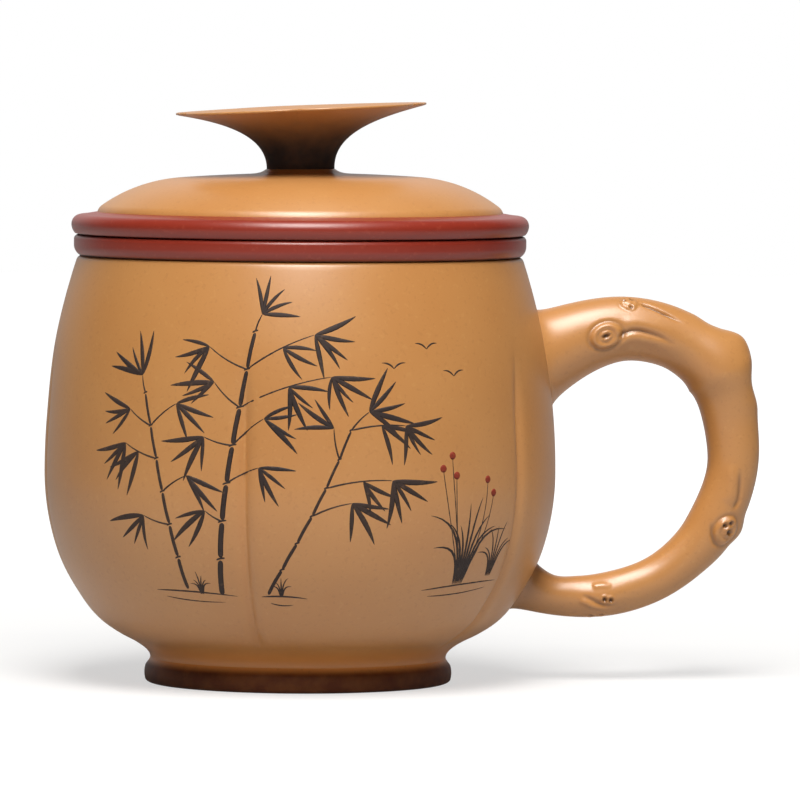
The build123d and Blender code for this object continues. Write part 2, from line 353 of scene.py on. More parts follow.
def makeClay(name, finish):
    # clay grain with painted shade where the first mask says (painted light in the fillet's clay)
    # and painted shade in hollows and gaps, under a satin shader whose bump is the fine grain
    material = bpy.data.materials.new(name)
    material.use_nodes = True
    tree = material.node_tree
    shader = tree.nodes["Principled BSDF"]
    place = addNode(tree, "ShaderNodeTexCoord").outputs["Object"]
    sockets = {"place": place}
    for key, kind in grainInputs.items():
        sockets[key] = srgb(finish[key]) if kind == "Color" else finish[key]
    grain = addNode(tree, "ShaderNodeGroup", sockets, node_tree=clayGrain).outputs
    colour = grain["color"]
    masks = {}
    for key in ("scorch", "hollow"):
        masks[key] = addNode(tree, "ShaderNodeAttribute", attribute_name=key).outputs["Fac"]
        sockets = {
            "place": place, "color": colour, "paintedShadingMix": srgb(finish[key]), "mask": masks[key]}
        colour = addNode(tree, "ShaderNodeGroup", sockets, node_tree=paintedShadingMix).outputs["color"]
    # roughness rises where the first mask lays painted shade
    dulled = reckon(
        tree, "MULTIPLY_ADD", masks["scorch"], finish["scorchDulls"], grain["roughness"])
    relief = {
        "Strength": finish["bump"],
        "Distance": claySetup["bumpHeight"],
        "Height": grain["height"],
    }
    tree.links.new(colour, shader.inputs["Base Color"])
    tree.links.new(dulled, shader.inputs["Roughness"])
    tree.links.new(addNode(tree, "ShaderNodeBump", relief).outputs[0], shader.inputs["Normal"])
    shader.inputs["Specular IOR Level"].default_value = finish["specular"]
    material.diffuse_color = srgb(finish["ground"])
    return material


# colours are given as on a screen, 0 to 255
# in each finish the first mask colour is painted shade and the second is painted shade for hollows
# and gaps
ochreFinish = {
    "ground": (200, 138, 76), "cloud": (204, 144, 82),
    "darkFleck": (176, 116, 62), "paleFleck": (214, 160, 98), "fleckShare": 0.22,
    "scorch": (34, 17, 11), "scorchDulls": 0.4, "hollow": (46, 24, 14),
    "smooth": 0.34, "rough": 0.38, "bump": 0.06, "specular": 1.0,
}
# the fillet's clay: its mask colour is painted light, lighter and warmer where the bowl shades it
paintedLightFinish = dict(ochreFinish, scorch=(228, 152, 78), scorchDulls=0.0)
# the foot ring's clay: a ground lighter than the body as painted light, and a dark mask colour as
# painted shade
footLightAndShadeFinish = dict(
    ochreFinish, ground=(228, 152, 78), cloud=(232, 158, 84), scorch=(96, 47, 19),
    scorchDulls=0.2, specular=0.3)
redFinish = dict(
    ochreFinish, ground=(144, 43, 25), cloud=(150, 49, 30), darkFleck=(132, 40, 26),
    paleFleck=(172, 76, 54), fleckShare=0.3, scorch=(52, 22, 16), hollow=(14, 8, 8),
    bump=0.05, specular=0.75)
inkFinish = {
    "ground": (50, 41, 40), "cloud": (66, 52, 46),
    "darkFleck": (32, 26, 26), "paleFleck": (96, 74, 58), "fleckShare": 0.5,
    "scorch": (30, 24, 24), "scorchDulls": 0.0, "hollow": (30, 24, 24),
    "smooth": 0.5, "rough": 0.62, "bump": 0.1, "specular": 0.3,
}
berryFinish = dict(
    inkFinish, ground=(150, 60, 40), cloud=(138, 50, 34), darkFleck=(104, 36, 26),
    paleFleck=(172, 92, 66))
ochreClay = makeClay("ochreClay", ochreFinish)
paintedLightClay = makeClay("paintedLightClay", paintedLightFinish)
footLightAndShadeClay = makeClay("footLightAndShadeClay", footLightAndShadeFinish)
redClay = makeClay("redClay", redFinish)
brushInk = makeClay("brushInk", inkFinish)
berryRed = makeClay("berryRed", berryFinish)
print("materials:", len(bpy.data.materials))

# Cup body

cupShape = {
    "bellyHeight": 41.0, "rimInset": 6.8, "flankInset": 2.4, "flankDrop": 15.0, "waistInset": 21.1,
    "bowlFullness": 1.1, "fullHeight": 11.5, "fullSpread": 4.5,
    "wallThickness": 3.6, "lipRound": 0.9, "floorEase": 5.0,
    "lobes": 5, "lobeColumns": 80,
    "creaseBroad": 0.60, "creaseNarrow": 1.15, "creaseWidth": 1.3, "creasePower": 1.4,
    "creaseTop": 69.0, "creaseFade": 18.0, "creaseFootFade": 4.0,
    # painted shade: a little towards the foot, and on the lip's seat under the flange
    "scorch": 0.05, "scorchHeight": 5.0, "seatShade": 0.4, "seatShadeHeight": 0.25,
}
wallLow, wallHigh = boxOf("cup_wall")
floorTop = boxOf("cup_floor")[1][2]
bellyRadius = wallHigh[0]
rimHeight = wallHigh[2]
footHeight = wallLow[2]
bellyHeight = cupShape["bellyHeight"]
rimRadius = bellyRadius - cupShape["rimInset"]
flankRadius = bellyRadius - cupShape["flankInset"]
flankHeight = bellyHeight - cupShape["flankDrop"]
waistRadius = bellyRadius - cupShape["waistInset"]
lipHeight = rimHeight - cupShape["lipRound"]


def uprightArc(run, rise):
    # radius of an arc that starts upright and ends run inwards and rise along: the squares of
    # both over twice the run
    return (run**2 + rise**2) / (2.0 * run)


shoulderArc = uprightArc(cupShape["rimInset"], rimHeight - bellyHeight)
flankArc = uprightArc(cupShape["flankInset"], cupShape["flankDrop"])
flankAngle = math.asin(cupShape["flankDrop"] / flankArc)
bowlRun = flankRadius - waistRadius
bowlDrop = flankHeight - footHeight
bowlReach = bowlRun * math.cos(flankAngle) - bowlDrop * math.sin(flankAngle)
bowlArc = (bowlRun**2 + bowlDrop**2) / (2.0 * bowlReach)
bowlCentre = (
    flankRadius - bowlArc * math.cos(flankAngle),
    flankHeight + bowlArc * math.sin(flankAngle),
)


def arcReach(radius, rise):
    # how far an arc reaches out at a rise from its centre: root of radius squared less rise squared
    return np.sqrt(np.maximum(radius**2 - rise**2, 0.0))


def wallRadius(height):
    # radius of the outline at a height: shoulder arc above the belly, then flank arc, then bowl
    # arc, with a bell that fills it out above the foot
    height = np.asarray(height, float)
    rise = height - bellyHeight
    shoulder = bellyRadius - shoulderArc + arcReach(shoulderArc, rise)
    flank = bellyRadius - flankArc + arcReach(flankArc, rise)
    bowl = bowlCentre[0] + arcReach(bowlArc, height - bowlCentre[1])
    fullness = bell(height - cupShape["fullHeight"], cupShape["fullSpread"])
    outline = np.where(rise >= 0.0, shoulder, np.where(height >= flankHeight, flank, bowl))
    return outline + cupShape["bowlFullness"] * fullness


def wallSlope(height):
    # change of the outline's radius over a short step of height
    step = 0.05
    return (wallRadius(height + step) - wallRadius(height - step)) / (2.0 * step)


def fromCrown(angle, lobes):
    # share of the way from the nearest lobe's crown, at 0, to its crease, at 1
    half = math.pi / lobes
    return np.abs((angle + half) % (2.0 * half) - half) / half


def creaseInset(angle, height):
    # a broad fall from each lobe's crown plus a narrow groove at the crease, faded out towards
    # the shoulder and the foot
    share = fromCrown(angle, cupShape["lobes"])
    toCrease = (1.0 - share) * bellyRadius * math.pi / cupShape["lobes"]
    broad = cupShape["creaseBroad"] * share**2
    groove = np.exp(-((toCrease / cupShape["creaseWidth"]) ** cupShape["creasePower"]))
    towardsRim = smoothStep((cupShape["creaseTop"] - height) / cupShape["creaseFade"])
    towardsFoot = smoothStep((height - footHeight) / cupShape["creaseFootFade"])
    return (broad + cupShape["creaseNarrow"] * groove) * towardsRim * towardsFoot


def wallPoint(angle, height):
    # a point on the outside of the cup: the outline less the crease, carried round
    radius = wallRadius(height) - creaseInset(angle, height)
    return np.stack((radius * np.cos(angle), radius * np.sin(angle), height), axis=-1)


def wallArcs(inset, lowest, highest):
    # the outline set in by inset, from its lowest to its highest height, bowl arc first
    bowl = bowlArc - inset
    flank = flankArc - inset
    shoulder = shoulderArc - inset
    lowAngle = math.asin((lowest - bowlCentre[1]) / bowl)
    highAngle = math.asin((highest - bellyHeight) / shoulder)
    flankCentre = (bellyRadius - flankArc, bellyHeight)
    shoulderCentre = (bellyRadius - shoulderArc, bellyHeight)
    return np.concatenate((
        arcAbout(bowlCentre, bowl, lowAngle, -flankAngle, count=44),
        arcAbout(flankCentre, flank, -flankAngle, 0.0, count=22)[1:],
        arcAbout(shoulderCentre, shoulder, 0.0, highAngle, count=52)[1:],
    ))


def lobeAngles(lobes, columns):
    # angles round the axis, drawn together at the creases by part of a sine
    evenPart = 0.4
    share = np.linspace(-1.0, 1.0, columns, endpoint=False)
    drawn = (1.0 - evenPart) * np.sin(share * math.pi / 2.0)
    within = (evenPart * share + drawn) * math.pi / lobes
    return (np.arange(lobes)[:, None] * fullTurn / lobes + within).ravel()


def makeCupBody():
    # underside, lobed outside, eased lip, inside and floor as one profile from axis to axis
    ease, floorEase = cupShape["lipRound"], cupShape["floorEase"]
    outside = wallArcs(0.0, footHeight, lipHeight)
    inside = wallArcs(cupShape["wallThickness"], floorTop, lipHeight)[::-1]
    mouth, corner = inside[0, 0], inside[-1]
    lean = math.asin((lipHeight - bellyHeight) / shoulderArc)
    upwards = (-math.sin(lean), math.cos(lean))
    lipOut = arcAlong(outside[-1], upwards, (rimRadius - ease, rimHeight), count=7)
    lipIn = arcAlong((mouth + ease, rimHeight), (-1.0, 0.0), (mouth, lipHeight), count=7)
    underside = levelRun(0.0, waistRadius, footHeight, count=9)[:-1]
    inside = inside[np.hypot(*(inside - corner).T) > floorEase]
    floorStart = corner - (floorEase, 0.0)
    share = np.linspace(0.0, 1.0, 10)[1:-1, None]
    eased = parabola(inside[-1], corner, floorStart, share)
    floor = levelRun(floorStart[0], 0.0, corner[1], count=8)
    profile = np.concatenate((underside, outside, lipOut[1:], lipIn, inside[1:], eased, floor))
    isOutside = np.zeros(len(profile))
    isOutside[len(underside):len(underside) + len(outside)] = 1.0
    radius, height = profile.T
    angle = lobeAngles(cupShape["lobes"], cupShape["lobeColumns"])
    fullness = wallRadius(height) - radius
    inset = isOutside[:, None] * (creaseInset(angle, height[:, None]) - fullness[:, None])
    points = turnAbout(profile, angle)
    pressIn(points, inset, angle)
    # painted shade on the outside towards the foot, and on the lip's top where the flange rests
    nearFoot = smoothStep((footHeight - height) / cupShape["scorchHeight"] + 1.0)
    onSeat = smoothStep((height - rimHeight) / cupShape["seatShadeHeight"] + 1.0)
    makePiece(
        "cupBody", points, "cup", ochreClay, ("cup_wall", "cup_floor"), "ochre_clay",
        scorch=cupShape["scorch"] * nearFoot * isOutside,
        hollow=cupShape["seatShade"] * onSeat * (radius > mouth + ease))


makeCupBody()

# Foot ring

footShape = {
    "width": 4.9, "neckInset": 0.1, "neckHeight": 4.8,
    "bulge": 1.15, "bulgeHeight": 1.8, "bulgeSpread": 3.2, "ledgeHeight": 4.0, "ledgeDrop": 1.9,
    "filletHeight": 8.9, "filletDepth": 2.0, "filletSunk": 0.04,
    "treadRound": 0.9, "treadHeight": 0.5, "bevel": 0.8, "bevelEase": 0.5,
    "topSunk": 0.1, "topEase": 0.1,
    # painted shade on the lower ring, and the height below which the fillet is painted lighter
    "scorch": 0.97, "scorchHeight": 4.1, "scorchFade": 1.6, "paintedLightHeight": 2.8,
    "columns": 256,
}


def makeFootRing():
    # neck plus a bell bulge that ends in a small ledge, then a hollow parabola that leaves the
    # neck upright and meets the bowl along its own slope
    shape = footShape
    neck = waistRadius - shape["neckInset"]
    ledgeStart = shape["ledgeHeight"] - shape["ledgeDrop"] / 2.0
    height = np.concatenate((
        np.linspace(shape["treadHeight"], ledgeStart, 26)[:-1],
        np.linspace(ledgeStart, shape["neckHeight"], 20),
    ))
    ledge = 1.0 - smoothStep((height - ledgeStart) / shape["ledgeDrop"])
    bulge = shape["bulge"] * ledge * bell(height - shape["bulgeHeight"], shape["bulgeSpread"])
    outside = np.stack((neck + bulge, height), axis=1)
    tread = outside[0] - (shape["treadRound"], outside[0, 1])
    bottom = arcAlong(tread, (1.0, 0.0), outside[0], count=6)
    inner, bevel = waistRadius - shape["width"], shape["bevel"]
    within = easedOutline(
        [(inner, footHeight + shape["topSunk"]), (inner, bevel), (inner + bevel, 0.0)],
        (shape["topEase"], shape["bevelEase"], shape["bevelEase"]))
    profile = np.concatenate((bottom[:-1], outside, within))
    # painted shade, darker towards the bottom of the ring
    footShade = smoothStep((shape["scorchHeight"] - profile[:, 1]) / shape["scorchFade"] + 0.5)
    makeTurned(
        "footRing", profile, shape["columns"], "cup", footLightAndShadeClay, ("foot_ring",), "ochre_clay",
        scorch=shape["scorch"] * footShade)
    meets = shape["filletHeight"]
    joinRadius = float(wallRadius(meets)) - shape["filletSunk"]
    corner = np.array((neck, meets - (joinRadius - neck) / wallSlope(meets)))
    share = np.linspace(0.0, 1.0, 20)[:, None]
    fillet = parabola(outside[-1], corner, np.array((joinRadius, meets)), share)
    profile = np.concatenate((fillet, fillet[[-1, 0]] - (shape["filletDepth"], 0.0)))
    angle = lobeAngles(cupShape["lobes"], cupShape["lobeColumns"])
    points = turnAbout(profile, angle)
    pressIn(points, creaseInset(angle, profile[:, 1:]), angle)
    # painted light on the fillet, lighter towards the foot where the bowl overhangs it
    makePiece(
        "footFillet", points, "cup", paintedLightClay, slot="ochre_clay", closed=True,
        scorch=smoothStep((meets - profile[:, 1]) / shape["paintedLightHeight"]))


makeFootRing()

# Branch handle: stations are shares of reach, of rise or drop, and of thickness; knots, pins and
# furrows are placed by distance from the axis and height, on the front (-1), the back (1) or the
# outer edge (0) of the loop

handleShape = {
    "reach": 35.6, "rise": 27.9, "drop": 24.5, "thickness": 12.4, "depthRatio": 0.94,
    "rows": 500, "columns": 176,
    "stations": [
        (0.00, 0.77, 1.50), (0.07, 0.86, 1.28), (0.25, 0.95, 1.12), (0.46, 1.00, 1.02),
        (0.67, 0.96, 0.98), (0.83, 0.86, 1.00), (0.96, 0.69, 1.13), (0.99, 0.45, 0.92),
        (1.00, 0.20, 0.83), (0.98, -0.07, 0.81), (0.92, -0.42, 0.82), (0.84, -0.65, 0.74),
        (0.71, -0.86, 0.69), (0.51, -0.98, 0.69), (0.28, -1.00, 0.65), (0.09, -0.95, 0.71),
        (0.00, -0.87, 0.84),
    ],
    "waver": 0.05,
    # waves along the branch, waves round it, start
    "waves": [(3.0, 2.0, 0.0), (4.0, -1.0, 1.0), (6.0, 1.0, 0.0)],
    # side, place, half sizes, tilt, rise, rings, hole half sizes, hole depth
    "knots": [
        (-1, (59.3, 67.7), (3.3, 2.5), 8.0, 0.45, 0.26, (0.80, 0.36), 0.9),
        (-1, (64.2, 74.0), (1.8, 1.7), 0.0, 0.45, 0.10, (0.50, 0.50), 0.0),
        (-1, (83.6, 29.4), (3.0, 2.4), 0.0, 0.50, 0.22, (0.48, 0.45), 0.0),
        (-1, (59.7, 16.4), (4.4, 3.0), 0.0, 0.40, 0.00, (0.42, 0.40), 0.0),
        (0, (86.6, 66.9), (3.2, 4.0), 0.0, 0.95, 0.00, (0.50, 0.50), 0.0),
        (0, (81.0, 70.0), (3.0, 4.0), 0.0, -0.35, 0.00, (0.50, 0.50), 0.0),
        (0, (89.0, 58.8), (4.4, 6.0), 0.0, -1.50, 0.00, (0.50, 0.50), 0.0),
        (0, (86.9, 29.0), (3.0, 3.4), 0.0, 0.70, 0.00, (0.50, 0.50), 0.0),
        (1, (69.5, 67.2), (3.2, 2.4), -10.0, 0.45, 0.26, (0.80, 0.36), 0.9),
        (1, (85.2, 37.5), (2.6, 2.4), 0.0, 0.45, 0.22, (0.50, 0.45), 0.7),
        (1, (66.6, 16.4), (3.4, 2.4), 0.0, 0.40, 0.12, (0.42, 0.40), 0.6),
    ],
    "knotReach": 1.35,
    # place in half sizes of the knot, width, height
    "knotRings": [(0.74, 0.17, 1.0), (1.08, 0.15, -1.0), (0.46, 0.12, -0.8)],
    # place and width of the painted shade round each knot
    "ringShade": (1.08, 0.12),
    # side, radius, depth, places
    "pins": [
        (-1, 0.34, 0.45, [(63.3, 74.4), (64.9, 74.5), (64.4, 73.2)]),
        (-1, 0.38, 0.5, [(84.4, 31.0), (83.2, 30.6), (57.2, 12.8), (59.4, 13.0)]),
        (-1, 0.48, 0.7, [(84.0, 29.2)]),
        (-1, 0.38, 0.6, [(59.6, 16.1), (60.9, 16.0)]),
        (1, 0.38, 0.5, [(67.8, 17.0), (86.2, 39.2)]),
    ],
    # raised rim of a pin hole: place and width in radii, height as a share of the depth
    "pinRim": (1.8, 0.6, 0.3),
    # side, course, width, height (below zero for a furrow)
    "furrows": [
        (-1, [(60.8, 66.9), (63.4, 68.4), (66.0, 68.7), (70.0, 67.5), (73.3, 65.7)], 0.42, -0.50),
        (-1, [(60.6, 65.1), (63.4, 66.9), (66.2, 67.2), (70.0, 66.0), (72.6, 64.6)], 1.0, 0.34),
        (-1, [(62.2, 69.9), (66.0, 70.4), (70.0, 69.2), (73.6, 67.4)], 1.1, 0.22),
        (-1, [(66.1, 74.1), (70.3, 72.4), (75.2, 69.8)], 0.36, -0.60),
        (-1, [(80.6, 31.4), (80.7, 28.8), (81.6, 26.8), (83.2, 25.9)], 0.42, -0.30),
        (-1, [(86.2, 42.2), (86.1, 36.4), (85.4, 34.6), (84.4, 33.2)], 0.50, -0.36),
        (-1, [(84.6, 43.0), (84.4, 37.0), (83.6, 34.4)], 1.2, 0.28),
        (-1, [(57.1, 18.4), (59.3, 18.7), (61.4, 18.5)], 0.6, 0.26),
        (-1, [(54.3, 16.4), (57.1, 14.9), (59.7, 14.4), (62.9, 14.4)], 0.55, 0.32),
        (-1, [(55.1, 17.1), (57.7, 15.8), (59.7, 15.2), (62.7, 15.2)], 0.40, -0.30),
        (1, [(66.4, 65.4), (69.6, 65.2), (73.4, 65.0), (76.6, 63.2)], 0.45, -0.45),
        (1, [(58.0, 71.6), (61.8, 72.2), (66.0, 71.8)], 0.45, -0.40),
        (1, [(84.0, 47.0), (85.0, 43.6), (84.8, 40.2)], 0.45, -0.40),
        (1, [(63.0, 15.0), (66.6, 14.2), (70.6, 15.0)], 0.40, -0.35),
    ],
    # shares of a furrow over which it sets in and runs out
    "furrowFades": (0.2, 0.45),
    # painted shade in furrows and near the lower root
    "furrowShade": 1.1, "furrowShadeWidth": 0.7,
    "rootDepth": 3.2, "rootDeepest": 2.6, "rootFillet": 0.6, "rootFilletReach": 1.1,
    "rootShade": 0.3, "rootShadeReach": 7.0,
}


def handleLine():
    # middle line, outward direction and half thickness at even steps along the spline
    shape = handleShape
    reach, level, across = np.array(shape["stations"]).T
    height = bellyHeight + level * np.where(level > 0.0, shape["rise"], shape["drop"])
    standoff = np.where(reach > 0.0, reach * shape["reach"], -shape["rootDepth"])
    half = across * shape["thickness"] / 2.0
    knots = np.stack((wallRadius(height) + standoff, height, half), axis=1)
    fine = np.linspace(0.0, len(knots) - 1.0, 4000)
    line = splineAt(knots, fine)
    run = np.concatenate(([0.0], np.cumsum(np.hypot(*np.diff(line[:, :2], axis=0).T))))
    even = np.interp(np.linspace(0.0, run[-1], shape["rows"]), run, fine)
    line = splineAt(knots, even)
    along = unit(np.gradient(line[:, :2], axis=0))
    return line[:, :2], leftOf(along), line[:, 2]


def inSpace(flat):
    # pairs of distance and height in the upright plane of the handle, as one column of points
    return np.stack((flat[:, 0], 0.0 * flat[:, 0], flat[:, 1]), axis=1)[:, None, :]


def onHandle(line, outward, half, side, places):
    # places (distance, height) carried out to the skin: depth is the oval's at that offset from
    # the middle line; also gives the directions along the branch and across it
    widest = 0.97
    places = np.atleast_2d(np.array(places, float))
    distance = np.linalg.norm(places[:, None, :] - line, axis=-1)
    nearest = np.argmin(distance, axis=1)
    thick, outwards = half[nearest], outward[nearest]
    offset = np.sum((places - line[nearest]) * outwards, axis=1)
    offset = np.clip(offset, -widest * thick, widest * thick)
    depth = side * handleShape["depthRatio"] * np.sqrt(thick**2 - offset**2)
    flat = line[nearest] + outwards * offset[:, None]
    skin = np.stack((flat[:, 0], depth, flat[:, 1]), axis=1)
    branch = np.stack((outwards[:, 1], 0.0 * depth, -outwards[:, 0]), axis=1)
    facing = np.stack((outwards[:, 0] * offset, depth, outwards[:, 1] * offset), axis=1)
    return skin, branch, np.cross(unit(facing), branch)


def toCourse(points, course):
    # least distance to the pieces of a course, and the share of the course passed there
    best = np.full(points.shape[:-1], np.inf)
    passed = np.zeros(points.shape[:-1])
    last = len(course) - 1
    for index, (start, end) in enumerate(zip(course, course[1:])):
        step = end - start
        share = np.clip((points - start) @ step / (step @ step), 0.0, 1.0)
        distance = np.linalg.norm(points - start - share[..., None] * step, axis=-1)
        passed = np.where(distance < best, (index + share) / last, passed)
        best = np.minimum(best, distance)
    return best, passed


def makeHandle():
    # ovals along the branch, raised by knots and ridges and lowered by holes, pins and furrows;
    # the ends are pushed out along the radius where they would come through the wall
    shape = handleShape
    branchLine = handleLine()
    line, outward, half = branchLine
    turn = evenTurn(shape["columns"])
    cosine, sine = np.cos(turn)[:, None], np.sin(turn)[:, None]
    middle, outwards = inSpace(line), inSpace(outward)
    front = np.array((0.0, -1.0, 0.0))
    oval = outwards * cosine + shape["depthRatio"] * front * sine
    skin = middle + half[:, None, None] * oval
    facing = outwards * cosine + front * sine
    passed = np.linspace(0.0, fullTurn, len(line))[:, None]
    waver = sum(np.sin(along * passed + about * turn + start)
                for along, about, start in shape["waves"])
    lift = shape["waver"] * waver
    # painted shade in knot holes, round knots, in pin holes and furrows, and near the lower root
    hollow = np.zeros(skin.shape[:2])
    for side, place, size, tilt, rise, rings, holeSize, holeDepth in shape["knots"]:
        centre, branch, across = (part[0] for part in onHandle(*branchLine, side, place))
        along, over = (skin - centre) @ branch, (skin - centre) @ across
        near = smoothStep(1.0 + facing @ np.cross(branch, across))
        lean = math.radians(tilt)
        longways = along * math.cos(lean) + over * math.sin(lean)
        sideways = over * math.cos(lean) - along * math.sin(lean)
        reach = np.hypot(longways / size[0], sideways / size[1])
        hole = pit(np.hypot(longways / holeSize[0], sideways / holeSize[1]))
        ringed = sum(height * bell(reach - ring, width)
                     for ring, width, height in shape["knotRings"])
        raised = rise * (1.0 - smoothStep(reach / shape["knotReach"])) + rings * ringed
        shadeRing, shadeWidth = shape["ringShade"]
        lift += near * (raised - holeDepth * hole)
        hollow += near * (hole * min(1.0, holeDepth) + rings * bell(reach - shadeRing, shadeWidth))
    rimPlace, rimWidth, rimRise = shape["pinRim"]
    for side, radius, depth, places in shape["pins"]:
        for centre in onHandle(*branchLine, side, places)[0]:
            reach = np.linalg.norm(skin - centre, axis=-1) / radius
            lift += depth * (rimRise * bell(reach - rimPlace, rimWidth) - pit(reach))
            hollow += pit(reach)
    setIn, runOut = shape["furrowFades"]
    for side, course, width, height in shape["furrows"]:
        places = splineAt(course, np.linspace(0.0, len(course) - 1.0, 4 * len(course)))
        distance, share = toCourse(skin, onHandle(*branchLine, side, places)[0])
        fade = smoothStep(share / setIn) * smoothStep((1.0 - share) / runOut)
        shade = shape["furrowShade"] * max(0.0, -height)
        lift += height * fade * bell(distance, width)
        hollow += shade * fade * bell(distance, shape["furrowShadeWidth"] * width)
    fromWall = np.hypot(skin[..., 0], skin[..., 1]) - wallRadius(skin[..., 2])
    lift += shape["rootFillet"] * np.exp(-np.maximum(fromWall, 0.0) / shape["rootFilletReach"])
    nearRoot = smoothStep(1.0 - fromWall / shape["rootShadeReach"])
    hollow += shape["rootShade"] * (skin[..., 2] < bellyHeight) * nearRoot
    ends = middle[[0, -1]] + 0.0 * skin[[0, -1]]
    points = np.concatenate((ends[:1], skin + lift[..., None] * facing, ends[1:]))
    fromAxis = np.hypot(points[..., 0], points[..., 1])
    held = np.maximum(fromAxis, wallRadius(points[..., 2]) - shape["rootDeepest"])
    points[..., :2] *= (held / fromAxis)[..., None]
    makePiece(
        "branchHandle", points, "cup", ochreClay,
        ("handle_branch", "knot_eye", "knot_crest", "knot_heel", "knot_underside"), "ochre_clay",
        hollow=np.pad(np.clip(hollow, 0.0, 1.0), ((1, 1), (0, 0))))


makeHandle()

# Infuser

infuserShape = {
    "wallThickness": 2.6, "collarHeight": 5.0,
    "underRound": 1.1, "bellyHeight": 2.0, "overRound": 0.9, "flangeFillet": 0.35,
    "edgeEase": 0.5, "collarEase": 1.5, "strainerEase": 0.1, "footEase": 1.2,
    # painted shade under the flange and on its top where the band rests
    "gapShadeHeight": 0.5, "seatShade": 0.35, "seatShadeHeight": 0.25, "shadeInset": 1.7,
    "columns": 256,
}
bandLow, bandHigh = boxOf("lid_band")
flangeLow, flangeHigh = boxOf("infuser_flange")
tubeLow, tubeHigh = boxOf("infuser_tube")
strainerHigh = boxOf("infuser_base")[1]


def makeInfuser():
    # one profile: a bead for a flange, and a tube that is upright in the mouth and tapers to the
    # strainer, with a small hollow fillet where the two meet
    shape = infuserShape
    bottom, top, radius = flangeLow[2], flangeHigh[2], flangeHigh[0]
    under = (radius - shape["underRound"], bottom)
    belly = (radius, bottom + shape["bellyHeight"])
    over = (radius - shape["overRound"], top)
    outer, strainer, tubeFoot = tubeHigh[0], strainerHigh[0], tubeLow[2]
    bore, foot = outer - shape["wallThickness"], strainer + shape["wallThickness"]
    collarFoot = bottom - shape["collarHeight"]
    corners = [
        (over, 0.0),
        ((bore, top), shape["edgeEase"]),
        ((bore, collarFoot), shape["collarEase"]),
        ((strainer, strainerHigh[2]), shape["strainerEase"]),
        ((strainer, tubeFoot), shape["strainerEase"]),
        ((foot, tubeFoot), shape["footEase"]),
        ((outer, collarFoot), shape["collarEase"]),
        ((outer, bottom), shape["flangeFillet"]),
        (under, 0.0),
    ]
    profile = np.concatenate((
        easedOutline(*zip(*corners)),
        arcAlong(belly, (0.0, -1.0), under, count=14)[::-1],
        arcAlong((radius, top - shape["overRound"]), (0.0, 1.0), over, count=8),
    ))
    # painted shade under the flange and on its top where the band rests
    underneath = smoothStep((bottom - profile[:, 1]) / shape["gapShadeHeight"] + 1.0)
    onTop = smoothStep((profile[:, 1] - top) / shape["seatShadeHeight"] + 1.0)
    shaded = np.maximum(underneath, shape["seatShade"] * onTop)
    makeTurned(
        "infuserBody", profile, shape["columns"], "infuser", redClay,
        ("infuser_flange", "infuser_tube"), "red_clay",
        hollow=shaded * (profile[:, 0] > bandHigh[0] - shape["shadeInset"]))
    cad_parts["infuser_base"].data.materials.clear()
    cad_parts["infuser_base"].data.materials.append(redClay)


makeInfuser()

# Lid

lidShape = {
    "collarThickness": 3.0, "collarFootEases": (0.7, 0.9), "collarTopEase": 0.1,
    "bandFootInset": 0.7, "bandFootGap": 0.25, "bandWaist": 2.0,
    "bandShoulderInset": 2.1, "bandShoulderDrop": 0.6, "bandSlopeInset": 1.0,
    "bandTopInset": 2.0, "bandUnderInset": 1.0, "bandBoreEases": (0.2, 0.3),
    "gapShadeHeight": 0.5,
    "domeEdge": 1.2, "domeEdgeRound": 1.0, "domeEdgeInset": 0.25, "domeEdgeSunk": 0.45,
    "domeSunk": 0.6, "domeLean": 0.4, "domeCentre": 2.0, "domeThickness": 3.6,
    "domeShoulder": 16.2, "domeCrownDrop": 0.85, "domeRise": 7.55,
    "neckFillet": 1.0, "neckFilletReach": 1.0,
    "columns": 256,
}
knobShape = {
    "neckRadius": 6.6, "neckHeight": 6.5, "neckSunk": 0.6,
    "flareRadius": 14.5, "flareHeight": 9.25,
    "rimHeight": 11.45, "rimThickness": 0.45, "dishDepth": 2.0,
    "notchDepth": 1.1, "notchNip": 0.5, "notchNipWidth": 1.2,
    "lobes": 5, "lobeTurn": 10.5, "lobeColumns": 64, "tilt": 2.4, "droop": 0.3,
    # painted shade on the neck and under the rim, darkest at the neck
    "scorch": 0.97, "scorchHeight": 11.1, "scorchStart": 1.3,
}
collarLow, collarHigh = boxOf("lid_collar")
knobLow, knobHigh = boxOf("lid_knob")
domeRadius = boxOf("lid_dome")[1][0]
bandBottom, bandTop, bandRadius = bandLow[2], bandHigh[2], bandHigh[0]
collarRadius = collarHigh[0]
collarBore = collarRadius - lidShape["collarThickness"]


def makeBand():
    # a bead from foot over waist to shoulder, a slope up to the dome, and a flat top and bore
    shape = lidShape
    foot = (bandRadius - shape["bandFootInset"], bandBottom + shape["bandFootGap"])
    waist = (bandRadius, bandBottom + shape["bandWaist"])
    shoulder = np.array((bandRadius, bandTop))
    shoulder -= (shape["bandShoulderInset"], shape["bandShoulderDrop"])
    slopeEnd = np.array((domeRadius - shape["bandSlopeInset"], bandTop))
    corners = [
        (domeRadius - shape["bandTopInset"], bandTop),
        (collarBore, bandTop),
        (collarBore, bandBottom),
        (foot[0] - shape["bandUnderInset"], bandBottom),
    ]
    profile = np.concatenate((
        arcAlong(waist, (0.0, -1.0), foot, count=14)[::-1],
        arcAlong(waist, (0.0, 1.0), shoulder, count=14)[1:],
        shoulder + np.linspace(0.0, 1.0, 8)[1:, None] * (slopeEnd - shoulder),
        easedOutline(corners, (0.0, *shape["bandBoreEases"], 0.0)),
    ))
    # painted shade on the band's underside, over the flange
    underneath = smoothStep((bandBottom - profile[:, 1]) / shape["gapShadeHeight"] + 1.0)
    makeTurned(
        "lidBand", profile, shape["columns"], "lid", redClay, ("lid_band",), "red_clay",
        hollow=underneath * (profile[:, 0] > collarRadius))


